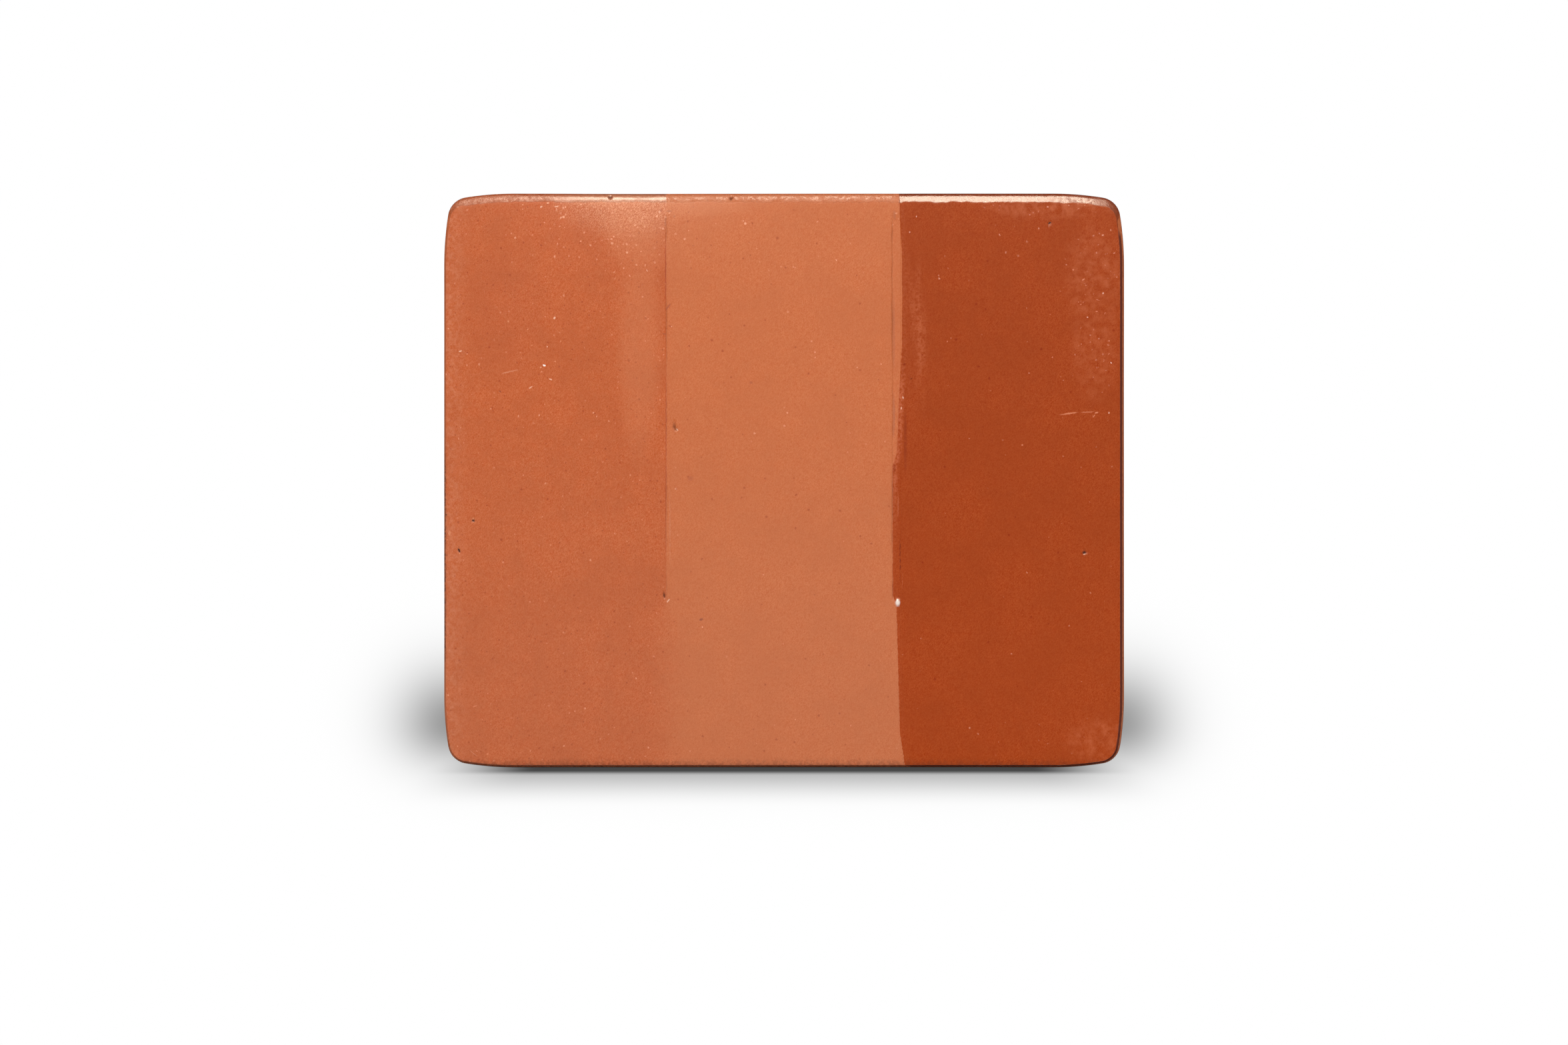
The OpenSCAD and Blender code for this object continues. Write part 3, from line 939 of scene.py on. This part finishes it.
class ClayWiring(Wiring):
    """The wiring of the block's own material, with the places and masks that its steps share."""

    def __init__(self, tree, finish):
        super().__init__(tree)
        self.finish = finish
        self.mottle = mottle_group()
        self.specks = specks_group()
        self.clay = clay_group(self.mottle, self.specks)
        self.find_places()
        self.lay_coats()

    def find_places(self):
        """Finds the place in mm, the shares kept in the mesh, and the place pushed by noise."""
        coordinates = self.node("ShaderNodeTexCoord").outputs["Object"]
        self.place = self.scale(coordinates, 1 / MM)
        axes = self.node("ShaderNodeSeparateXYZ", None, Vector=self.place).outputs
        self.x = axes["X"]
        self.z = axes["Z"]
        self.behind, self.edge, self.hollow, self.bead, self.arris = (
            self.node("ShaderNodeAttribute", {"attribute_name": name}).outputs["Fac"]
            for name in ("behind", "coat_edge", "hollow", "bead", "arris"))
        push = self.node("ShaderNodeTexNoise", None, Vector=self.place, Scale=2.2, Detail=4.0,
                         Roughness=0.7)
        push = self.vector("SUBTRACT", push.outputs["Color"], (0.5, 0.5, 0.5))
        self.ragged = self.vector("ADD", self.place, self.scale(push, 0.35))
        self.push = self.node("ShaderNodeSeparateXYZ", None, Vector=push).outputs
        self.front = self.fall(self.behind, 1.0, 2.0)

    def lay_coats(self):
        """Finds the masks of the satin and the sealed panel, whose coats end in ragged lines."""
        finish = self.finish
        shove = self.rise(self.z, TOP_BAND + 1.5, TOP_BAND + 5, 0.12, 1.2)
        end = self.math("MULTIPLY_ADD", self.push["Z"], shove, self.behind)
        wrap = self.rise(self.z, HEIGHT - 4, HEIGHT - 1.3,
                         finish.side_wrap / MM, finish.coat_wrap / MM)
        self.end = self.math("SUBTRACT", end, wrap)
        coated = self.fall(self.end, -0.04, 0.04)
        left = self.math("MULTIPLY_ADD", self.push["X"], 0.25, self.x)
        fade = self.rise(self.z, LINE_FOOT - 4, LINE_FOOT + 1, 3.4, 0.10)
        satin = self.fall(left, self.math("SUBTRACT", NARROW_LINE, fade),
                          self.math("ADD", NARROW_LINE, fade))
        self.satin = self.times(satin, coated)
        self.edge = self.math("MULTIPLY_ADD", self.push["X"], 0.30, self.edge)
        self.sealed = self.times(self.rise(self.edge, -0.09, 0.09), coated)

    def chosen(self, bare, satin, sealed):
        """A number that differs between the three finishes, as the masks choose."""
        value = self.math("MULTIPLY_ADD", self.satin, satin - bare, bare)
        more = self.math("SUBTRACT", sealed, value)
        return self.math("MULTIPLY_ADD", self.sealed, more, value)

    def clouds(self, size, low, high, stretch=1.0):
        """Soft clouds with ragged edges."""
        return self.group(self.mottle, Place=self.ragged, Size=size, Stretch=stretch,
                          Low=low, High=high)["Share"]

    def body(self):
        """The clay's colour and grain, with more light specks in the satin panel and where the
        sealed coat is dull, and with a painted sparkle of light specks and grain in the satin's
        upper right.
        """
        finish = self.finish
        base = self.mix(self.satin, finish.bare_colour, finish.satin_colour)
        base = self.mix(self.sealed, base, finish.sealed_colour)
        self.dull = self.times(mark_shares(self, self.place, DULL_PATCHES), self.sealed)
        # Painted highlight: the sparkle patch shows glints as more light specks and stronger grain
        sparkle = mark_shares(self, self.place, SPARKLE_PATCH)
        light = self.math("ADD", sparkle, self.chosen(0.03, 0.30, 0.06))
        light = self.math("MULTIPLY_ADD", self.dull, 0.6, light)
        return self.group(
            self.clay, Place=self.place, Ragged_Place=self.ragged, Colour=base,
            Clouds=self.chosen(0.045, 0.075, 0.065),
            Grain=self.math("MULTIPLY_ADD", sparkle, 0.3, self.chosen(0.14, 0.18, 0.18)),
            Dark_Specks=self.chosen(0.30, 0.60, 0.05),
            Light_Specks=self.times(self.rise(self.z, 26.0, 60.0, 0.4, 1.0), light),
            Grain_Colour=self.mix(self.sealed, PALE_GRAIN, SEALED_GRAIN))

    def with_haze(self, colour):
        """Brushed haze beside the coat's edge, scuffs along it and dull patches further right."""
        streaks = self.clouds(1.3, 0.35, 0.68, stretch=9.0)
        brushed = mark_shares(self, self.place, BRUSHED_PATCH)
        scattered = self.clouds(0.3, 0.35, 0.65)
        brushed = self.times(streaks, brushed, scattered, self.sealed)
        patches = self.times(self.clouds(1.0, 0.36, 0.72), 0.56)
        self.haze = self.math("MAXIMUM", brushed, self.times(self.dull, patches))
        scuffs = self.times(
            self.fall(self.edge, 0.3, 0.9), self.rise(self.z, 28.0, 42.0, 0.1, 0.9),
            self.rise(self.z, 50.0, 54.0, 1.0, 0.3), scattered, self.sealed)
        colour = self.mix(self.haze, colour, HAZE)
        return self.mix(scuffs, colour, SCUFFS)

    def with_painted_glints(self, colour):
        """Painted glints along fine slanting strokes in the satin panel's upper right."""
        slanted = self.node("ShaderNodeMapping", {"vector_type": "TEXTURE"}, Vector=self.place,
                            Rotation=(0, radians(-48), 0), Scale=(0.17, 1, 0.065)).outputs[0]
        strokes = self.rise(self.noise(slanted, 1.0, 1.0, 0.5), 0.44, 0.66)
        glow = mark_shares(self, self.place, GLOW_PATCH)
        return self.mix(self.times(strokes, glow, self.satin), colour, GLINT)

    def with_dust(self, colour):
        """Pale dust along the left edge."""
        along_left = self.fall(self.x, LEFT_SIDE + 0.6, LEFT_SIDE + 4, 0.34)
        self.dust = self.times(along_left, self.clouds(0.5, 0.36, 0.74), self.satin)
        return self.mix(self.dust, colour, DUST)

    def with_marks(self, colour):
        """The marks and the broken scratches, each colour in turn, near the face only."""
        for paint, marks in MARKS.items():
            share = mark_shares(self, self.ragged, marks)
            colour = self.mix(self.times(share, self.front), colour, painted(*paint))
        breaks = self.group(self.mottle, Place=self.place, Size=0.5, Low=0.34, High=0.50)["Share"]
        breaks = self.times(breaks, self.front)
        for paint, scratches in SCRATCHES.items():
            share = scratch_shares(self, self.ragged, scratches)
            colour = self.mix(self.times(share, breaks), colour, painted(*paint))
        return colour

    def with_painted_light_and_shade(self, colour):
        """Painted light that makes the clay paler towards the bottom, and painted shade that
        darkens the rounded edge at the top.
        """
        # Painted light: paler clay towards the bottom
        foot_light = self.mix(self.sealed, FOOT_LIGHT, SEALED_FOOT_LIGHT)
        colour = self.mix(self.fall(self.z, 0.0, 60.0, 0.09), colour, foot_light)
        # Painted shade on the rounded edge at the top, strongest on the sealed panel
        shaded = self.times(self.arris, self.rise(self.z, TOP_BAND, TOP_BAND + 4),
                            self.chosen(0.08, 0.30, 0.46))
        return self.mix(shaded, colour, SHADED)

    def with_dirt_and_shade(self, colour):
        """Dark where the coat ends at the side, grime and painted shade behind it, dark nicks at
        the left, painted shade along the bottom, grime and painted shade in the hollows, and a
        painted highlight on the bead."""
        below_top = self.fall(self.z, TOP_BAND, TOP_BAND + 1.5)
        self.coat_end = self.times(
            self.rise(self.end, -0.10, -0.04), self.fall(self.end, 0.20, 0.30),
            self.rise(self.edge, 0.0, 1.0, 0.15, 0.90), below_top)
        colour = self.mix(self.coat_end, colour, COAT_END)
        spots = self.clouds(0.35, 0.44, 0.56)
        nicks = self.times(self.fall(self.x, LEFT_SIDE + 0.1, LEFT_SIDE + 0.5, 0.9),
                           self.rise(self.z, 13.0, 16.0), self.fall(self.z, 38.0, 44.0),
                           self.front)
        # Painted shade in spots along the bottom, which the nicks mask holds from here on
        foot = self.fall(self.z, 0.2, 1.6, 0.35)
        nicks = self.times(self.math("MAXIMUM", nicks, foot), spots)
        # Grime and painted shade in a band about 1 mm behind the front edge, fading out at the top
        dirt_and_edge_shade = self.times(self.rise(self.end, 0.70, 0.90), self.fall(self.end, 1.3, 1.7),
                          self.fall(self.z, TOP_BAND, TOP_BAND + 4, 0.75),
                          self.math("MULTIPLY_ADD", spots, 0.5, 0.5))
        colour = self.mix(self.math("MAXIMUM", nicks, dirt_and_edge_shade), colour, DIRT_AND_SHADE)
        # Painted shade darkens the clay along the bottom
        colour = self.mix(self.fall(self.z, 0.1, 1.2, 0.32), colour, FOOT_SHADE)
        # Grime and painted shade in the score lines and holes
        colour = self.mix(self.times(self.hollow, 0.75), colour, HOLLOW_DIRT_AND_SHADE)
        # Painted highlight on the bead
        return self.mix(self.bead, colour, BEAD_HIGHLIGHT)

    def with_pores(self, colour):
        """Pores and pale scum on the plain sides and back."""
        plain = self.rise(self.behind, 1.0, 2.0)
        pores = self.group(self.specks, Place=self.place, Spacing=4.2, Size=1.4, Shift=17.0,
                           Share_Shown=0.35)["Share"]
        self.pores = self.times(pores, plain)
        colour = self.mix(self.times(self.pores, 0.7), colour, PORES)
        return self.mix(self.times(self.clouds(7.0, 0.46, 0.72), plain, 0.22), colour, SCUM)

    def gloss(self):
        """The roughness and the weight of the coat, both worn along the rounded front edge."""
        finish = self.finish
        roughness = self.chosen(finish.bare_roughness, finish.satin_roughness,
                                finish.sealed_roughness)
        roughness = self.math("MULTIPLY_ADD", self.math("MAXIMUM", self.haze, self.dust), 0.15,
                              roughness)
        worn = self.clouds(1.6, 0.42, 0.62)
        bare = self.rest(self.math("ADD", self.satin, self.sealed))
        flaked = self.clouds(0.5, 0.45, 0.60)
        upper = self.rise(self.behind, 0.08, 0.26)
        rubbed = self.times(flaked, upper, bare, self.arris)
        near_ends = self.math("MAXIMUM", self.rise(self.x, 32.0, 41.0),
                              self.fall(self.x, -33.0, -27.0, 0.9))
        flaked = self.math("MAXIMUM", self.times(flaked, near_ends), self.rise(self.x, 40.2, 41.8))
        worn = self.times(self.math("MULTIPLY_ADD", flaked, 1.6, worn), self.arris)
        low = self.times(self.rest(self.sealed), self.arris)
        worn = self.math("MULTIPLY_ADD", self.rest(upper), low, worn)
        worn = self.math("MULTIPLY_ADD", self.times(bare, self.arris), 0.6, worn)
        roughness = self.math("MULTIPLY_ADD", worn, 0.14, roughness)
        roughness = self.math("MULTIPLY_ADD", self.hollow, 1.0, roughness, clamp=True)
        roughness = self.math("MULTIPLY_ADD", self.coat_end, 0.5, roughness, clamp=True)

        coat = self.times(self.satin, self.rise(self.x, -38.0, -20.0, 0.0, 0.8), upper)
        coat = self.math("MULTIPLY_ADD", self.sealed, 0.65, coat)
        coat = self.math("MULTIPLY_ADD", rubbed, 0.35, coat)
        coat = self.times(coat, self.rest(self.hollow), self.rest(self.coat_end),
                          self.math("MULTIPLY_ADD", self.times(flaked, self.arris), -0.9, 1.0))
        return roughness, coat

    def relief(self, grain):
        """The shading of the grain, of small chips along the front edge, and of the pores."""
        depth = self.math("MULTIPLY_ADD", self.arris, 0.035, self.chosen(0.008, 0.014, 0.003))
        chips = self.times(self.noise(self.ragged, 0.45, 3.0, 0.7), self.arris)
        height = self.math("MULTIPLY_ADD", chips, 0.07, self.times(depth, grain))
        height = self.math("MULTIPLY_ADD", self.pores, -0.25, height)
        bump = self.node("ShaderNodeBump", None, Strength=1.0, Distance=MM, Height=height)
        return bump.outputs["Normal"]


def clay_material(finish):
    """Fired clay in its three finishes, each with its own colour, gloss and grain.

    The two coats end at the score lines and a little way over the edges, along ragged lines.
    """
    material, surface = new_material("fired_clay")
    wiring = ClayWiring(material.node_tree, finish)
    body = wiring.body()
    colour = body["Colour"]
    for step in (wiring.with_haze, wiring.with_painted_glints, wiring.with_dust, wiring.with_marks,
                 wiring.with_painted_light_and_shade, wiring.with_dirt_and_shade, wiring.with_pores):
        colour = step(colour)
    roughness, coat = wiring.gloss()
    shader = wiring.node("ShaderNodeBsdfPrincipled", None, Base_Color=colour, Roughness=roughness,
                         Coat_Weight=coat, Normal=wiring.relief(body["Grain"]))
    shader.inputs["Coat Roughness"].default_value = 0.12
    shader.inputs["Coat IOR"].default_value = 1.5
    shader.inputs["IOR"].default_value = 1.45
    wiring.feed(surface, shader.outputs[0])
    wiring.arrange()
    return material


def add_attribute(mesh, name, values):
    """Keeps one number for each vertex, for the material to read."""
    attribute = mesh.attributes.new(name, "FLOAT", "POINT")
    attribute.data.foreach_set("value", np.asarray(values, np.float32))


class CLAY_OT_add_block(bpy.types.Operator):
    """Adds the moulded clay block with its panels, score lines, holes and finishes"""

    bl_idname = "clay.add_block"
    bl_label = "Clay Block"

    def execute(self, context):
        shape = context.scene.clay_shape
        places, quads, triangles, shares = block_surface(shape)
        mesh = bpy.data.meshes.new("clay_block")
        faces = [*quads.tolist(), *triangles.tolist()]
        mesh.from_pydata((places * MM).tolist(), [], faces)
        mesh.shade_smooth()
        for name, values in shares.items():
            add_attribute(mesh, name, values)
        if mesh.validate():
            raise RuntimeError("the block's mesh has faces that don't hold together")
        mesh.materials.append(clay_material(context.scene.clay_finish))
        block = bpy.data.objects.new("clay_block", mesh)
        context.scene.collection.objects.link(block)
        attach(block, "root")
        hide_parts("brick")
        return {"FINISHED"}


# The lamps: the distance from the block's middle in m, the turn from straight in front and the rise
# in degrees, and the size in m
KEY = (1.6, -8, 25, (1.3, 0.9))
FILLS = {"left_fill": (1.5, -140, 30, (1.0, 1.0)), "right_fill": (1.5, 140, 30, (1.0, 1.0))}
FILL_WATTS = 8.0
# The softboxes that glint on the top edge also have a share of the strip's brightness and a colour
STRIPS = {
    "strip": ((1.0, 0, 54, (0.65, 0.73)), 1.0, (1.0, 0.92, 0.74)),
    "low_strip": ((1.0, 0, 23, (0.65, 0.40)), 0.12, (1.0, 0.80, 0.52)),
}

# What glossy rays meet: the brightness of the world and of the floor
GLOSSY_LEVEL = 0.06

# The floor: its radius in m, its sides and how far it lies below the block
FLOOR_RADIUS = 6.0
FLOOR_SIDES = 96
FLOOR_GAP = 0.0001

# The shadow along the block's base: from how far to how far out in m it fades, how dark it is, and
# from where to where across it fades towards the ends
WIDE_CONTACT = (0.0, 0.095, 0.42)
CLOSE_CONTACT = (0.005, 0.019, 0.50)
CONTACT_ENDS = (0.0325, 0.0475)

# The shadow behind the block, as the camera sees it: the slope across up to which it is full and
# the spread of its bell past that, one over the distance in m at which it is darkest and the
# spreads of its bell on the near and the far side of that, and how dark it is
SHADOW_SLOPE = 0.0634
SHADOW_SLOPE_FADE = 0.0079
SHADOW_NEARNESS = 1.185
SHADOW_NEAR_FADE = 0.181
SHADOW_FAR_FADE = 0.236
SHADOW_DARKNESS = 0.675


def add_lamp(name, where, watts, colour=(1, 1, 1), **seen):
    """An area lamp that looks at the block's middle and isn't seen by the camera."""
    distance, azimuth, elevation, size = where
    turn, tilt = radians(azimuth), radians(elevation)
    middle = HEIGHT / 2 * MM
    place = (distance * cos(tilt) * sin(turn), -distance * cos(tilt) * cos(turn),
             middle + distance * sin(tilt))
    data = bpy.data.lights.new(name, "AREA")
    data.energy = watts
    data.color = colour
    data.shape = "RECTANGLE"
    data.size, data.size_y = size
    lamp = bpy.data.objects.new(name, data)
    lamp.location = place
    aim = Vector((0, 0, middle)) - Vector(place)
    lamp.rotation_euler = aim.to_track_quat("-Z", "Y").to_euler()
    lamp.visible_camera = False
    for ray, shown in seen.items():
        setattr(lamp, "visible_" + ray, shown)
    bpy.context.scene.collection.objects.link(lamp)


def white_world(sky):
    """White to the camera, a plain level of light to the rest, and dim in glossy reflections."""
    world = bpy.data.worlds.new("studio")
    world.use_nodes = True
    tree = world.node_tree
    tree.nodes.clear()
    wiring = Wiring(tree)
    path = wiring.node("ShaderNodeLightPath").outputs
    seen = wiring.math("MAXIMUM", path["Is Camera Ray"], path["Is Transmission Ray"])
    level = wiring.math("MULTIPLY_ADD", path["Is Glossy Ray"], GLOSSY_LEVEL - sky, sky)
    level = wiring.math("MULTIPLY_ADD", seen, wiring.rest(level), level)
    background = wiring.node("ShaderNodeBackground", None, Color=(1, 1, 1), Strength=level)
    wiring.node("ShaderNodeOutputWorld", None, Surface=background.outputs[0])
    wiring.arrange()
    return world


def floor_material(camera_y):
    """White where the camera looks, with the soft shadow of the block.

    It is dark along the base and fades out in front. Behind the block it is a patch that widens
    away from the camera, as bells of the angle across and of one over the distance.
    """
    material, surface = new_material("pale_floor")
    wiring = Wiring(material.node_tree)
    place = wiring.node("ShaderNodeTexCoord").outputs["Object"]
    axes = wiring.node("ShaderNodeSeparateXYZ", None, Vector=place).outputs
    aside = wiring.math("ABSOLUTE", axes["X"])
    clear = wiring.math("SUBTRACT", wiring.math("ABSOLUTE", axes["Y"]), DEPTH / 2 * MM)
    contact = wiring.math("ADD", wiring.fall(clear, *WIDE_CONTACT),
                          wiring.fall(clear, *CLOSE_CONTACT))
    contact = wiring.times(contact, wiring.fall(aside, *CONTACT_ENDS))
    run = wiring.math("MAXIMUM", wiring.math("SUBTRACT", axes["Y"], camera_y), 0.1)
    spread = wiring.math("SUBTRACT", wiring.math("DIVIDE", aside, run), SHADOW_SLOPE)
    spread = wiring.math("DIVIDE", wiring.math("MAXIMUM", spread, 0.0), SHADOW_SLOPE_FADE)
    nearness = wiring.math("SUBTRACT", wiring.math("DIVIDE", 1.0, run), SHADOW_NEARNESS)
    fade = wiring.math("MULTIPLY_ADD", wiring.math("GREATER_THAN", nearness, 0.0),
                       SHADOW_NEAR_FADE - SHADOW_FAR_FADE, SHADOW_FAR_FADE)
    nearness = wiring.math("DIVIDE", nearness, fade)
    square = wiring.math("MULTIPLY_ADD", spread, spread, wiring.times(nearness, nearness))
    patch = wiring.times(wiring.math("EXPONENT", wiring.times(square, -0.5)), SHADOW_DARKNESS)
    shade = wiring.times(wiring.rest(contact), wiring.rest(patch))
    path = wiring.node("ShaderNodeLightPath").outputs
    seen = wiring.math("MAXIMUM", path["Is Camera Ray"], path["Is Transmission Ray"])
    glow = wiring.math("MULTIPLY_ADD", path["Is Glossy Ray"], GLOSSY_LEVEL, seen)
    bright = wiring.node("ShaderNodeEmission", None, Color=(1, 1, 1),
                         Strength=wiring.times(shade, glow))
    plain = wiring.node("ShaderNodeBsdfDiffuse", None, Color=(0.45, 0.45, 0.45))
    shown = wiring.math("MAXIMUM", seen, path["Is Glossy Ray"])
    mixed = wiring.node("ShaderNodeMixShader", None, Fac=shown)
    wiring.feed(mixed.inputs[1], plain.outputs[0])
    wiring.feed(mixed.inputs[2], bright.outputs[0])
    wiring.feed(surface, mixed.outputs[0])
    wiring.arrange()
    return material


class CLAY_OT_add_studio(bpy.types.Operator):
    """Adds the pale floor, the lamps and the camera"""

    bl_idname = "clay.add_studio"
    bl_label = "Studio"

    def execute(self, context):
        studio = context.scene.clay_studio
        scene = context.scene
        scene.view_settings.view_transform = "Standard"
        scene.world = white_world(studio.sky)

        outline = BLOCK_LOW.y + scene.clay_shape.arris_depth
        camera_y = outline - studio.lens / SENSOR * studio.frame_width

        angle = np.linspace(0, 2 * pi, FLOOR_SIDES, endpoint=False)
        level = angle * 0 + BLOCK_LOW.z - FLOOR_GAP
        circle = [FLOOR_RADIUS * np.cos(angle), FLOOR_RADIUS * np.sin(angle), level]
        mesh = bpy.data.meshes.new("floor")
        mesh.from_pydata(np.stack(circle, axis=1).tolist(), [], [list(range(FLOOR_SIDES))])
        mesh.materials.append(floor_material(camera_y))
        floor = bpy.data.objects.new("floor", mesh)
        scene.collection.objects.link(floor)

        # A lamp's light on the face falls with the square of its distance and with its tilt
        watts = studio.key * pi ** 2 * KEY[0] ** 2 / cos(radians(KEY[2]))
        add_lamp("key", KEY, watts, glossy=False)
        for name, (where, share, colour) in STRIPS.items():
            width, height = where[-1]
            watts = share * studio.strip * pi * width * height
            add_lamp(name, where, watts, colour, diffuse=False)
        for name, where in FILLS.items():
            add_lamp(name, where, FILL_WATTS, glossy=False)

        camera_data = bpy.data.cameras.new("camera")
        camera_data.lens = studio.lens
        camera_data.sensor_width = SENSOR
        camera_data.sensor_fit = "HORIZONTAL"
        camera = bpy.data.objects.new("camera", camera_data)
        middle_x, middle_z = across(PHOTO_WIDTH / 2), above(PHOTO_HEIGHT / 2)
        camera.location = (middle_x * MM, camera_y, middle_z * MM)
        camera.rotation_euler = (pi / 2, 0, 0)
        scene.collection.objects.link(camera)
        scene.camera = camera
        return {"FINISHED"}


class CLAY_PT_sidebar(bpy.types.Panel):
    """Lists the steps that build the block and its studio"""

    bl_idname = "CLAY_PT_sidebar"
    bl_label = "Clay Block"
    bl_space_type = "VIEW_3D"
    bl_region_type = "UI"
    bl_category = "Clay Block"

    def draw(self, context):
        layout = self.layout
        for group, operator in (("clay_shape", "clay.add_block"), ("clay_finish", None),
                                ("clay_studio", "clay.add_studio")):
            settings = getattr(context.scene, group)
            column = layout.box().column()
            for name in settings.__annotations__:
                column.prop(settings, name)
            if operator:
                column.operator(operator)


CLASSES = (BlockShape, BlockFinish, StudioSetup, CLAY_OT_add_block, CLAY_OT_add_studio,
           CLAY_PT_sidebar)


def register():
    """Adds the classes and the scene's settings."""
    for cls in CLASSES:
        bpy.utils.register_class(cls)
    bpy.types.Scene.clay_shape = PointerProperty(type=BlockShape)
    bpy.types.Scene.clay_finish = PointerProperty(type=BlockFinish)
    bpy.types.Scene.clay_studio = PointerProperty(type=StudioSetup)


def unregister():
    """Takes the scene's settings and the classes away again."""
    del bpy.types.Scene.clay_studio
    del bpy.types.Scene.clay_finish
    del bpy.types.Scene.clay_shape
    for cls in reversed(CLASSES):
        bpy.utils.unregister_class(cls)


def main():
    """Builds the block and the studio."""
    register()
    bpy.ops.clay.add_block()
    bpy.ops.clay.add_studio()
    bpy.context.view_layer.update()


if __name__ == "__main__":
    main()
